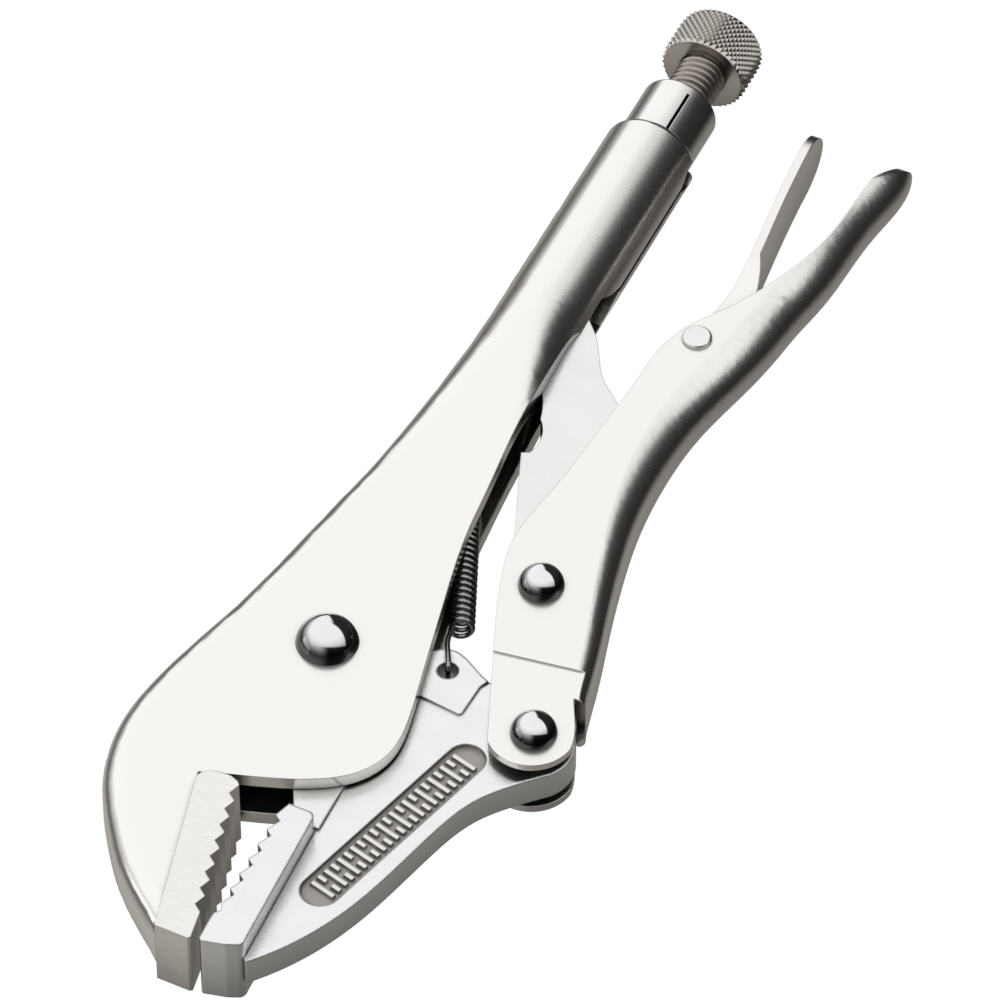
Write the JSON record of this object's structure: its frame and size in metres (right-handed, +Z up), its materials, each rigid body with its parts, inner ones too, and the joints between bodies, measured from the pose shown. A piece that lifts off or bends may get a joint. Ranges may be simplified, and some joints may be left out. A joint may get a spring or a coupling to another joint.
{
  "type": "locking pliers",
  "caption": "Toggle-action locking pliers with a folded steel body, serrated straight jaws, a quick-release lever and a knurled adjusting screw in the handle's end.",
  "frame": {"origin": "middle of the underside of the whole tool's box, with the tool lying on its side and the jaws locked almost shut", "axes": "+X along the adjusting screw from the jaws to the knob, +Y from the moving handle to the fixed handle, +Z up along the rivets"},
  "size_m": [0.2504, 0.0772, 0.023],
  "materials": {
    "plated_sheet": "satin nickel plate",
    "plated_plate": "satin nickel plate",
    "forged_jaw": "satin nickel plate on a forging",
    "ground_jaw": "ground faces",
    "polished_rivet": "mirror polish",
    "polished_sleeve": "bright plate",
    "screw_steel": "turned and knurled",
    "spring_wire": "oiled spring wire"
  },
  "bodies": {
    "fixed_body": {"fixed_handle": "plated_sheet", "fixed_jaw": "ground_jaw", "jaw_pivot_rivet": "polished_rivet", "thread_sleeve": "polished_sleeve", "return_spring": "spring_wire"},
    "moving_jaw": {"moving_jaw": "forged_jaw"},
    "moving_handle": {"moving_handle": "plated_sheet", "handle_pivot_rivet": "polished_rivet", "link_pivot_rivet": "polished_rivet", "release_lever_pin": "plated_plate"},
    "toggle_link": {"toggle_link": "plated_plate"},
    "release_lever": {"release_lever": "plated_sheet"},
    "adjusting_screw": {"adjusting_screw": "screw_steel"},
    "screw_knob": {"screw_knob": "screw_steel"}
  },
  "joints": [
    {"name": "jaw_pivot", "type": "hinge", "parent": "fixed_body", "child": "moving_jaw", "pos_m": [-0.0521, 0.01205, 0.0115], "axis": [0, 0, 1], "range_deg": [0, 15], "deforming": ["return_spring"]},
    {"name": "handle_pivot", "type": "hinge", "parent": "moving_jaw", "child": "moving_handle", "pos_m": [-0.056, -0.03095, 0.0115], "axis": [0, 0, -1], "range_deg": [0, 58]},
    {"name": "link_pivot", "type": "hinge", "parent": "moving_handle", "child": "toggle_link", "pos_m": [-0.0237, -0.01755, 0.0115], "axis": [0, 0, 1], "range_deg": [0, 70]},
    {"name": "release_lever_pivot", "type": "hinge", "parent": "moving_handle", "child": "release_lever", "pos_m": [0.0445, -0.01825, 0.0115], "axis": [0, 0, -1], "range_deg": [0, 8]},
    {"name": "screw_travel", "type": "slide", "parent": "fixed_body", "child": "adjusting_screw", "axis": [1, 0, 0], "range_m": [0, 0.018]},
    {"name": "knob_turn", "type": "hinge", "parent": "adjusting_screw", "child": "screw_knob", "pos_m": [0.1201, 0.01205, 0.0115], "axis": [1, 0, 0], "range_deg": [0, 4320]}
  ],
  "couplings": [
    {"joint": "jaw_pivot", "follows": "handle_pivot", "ratio": 0.24},
    {"joint": "link_pivot", "follows": "handle_pivot", "ratio": 1.165},
    {"joint": "knob_turn", "follows": "screw_travel", "rad_per_m": 4188.8}
  ]
}
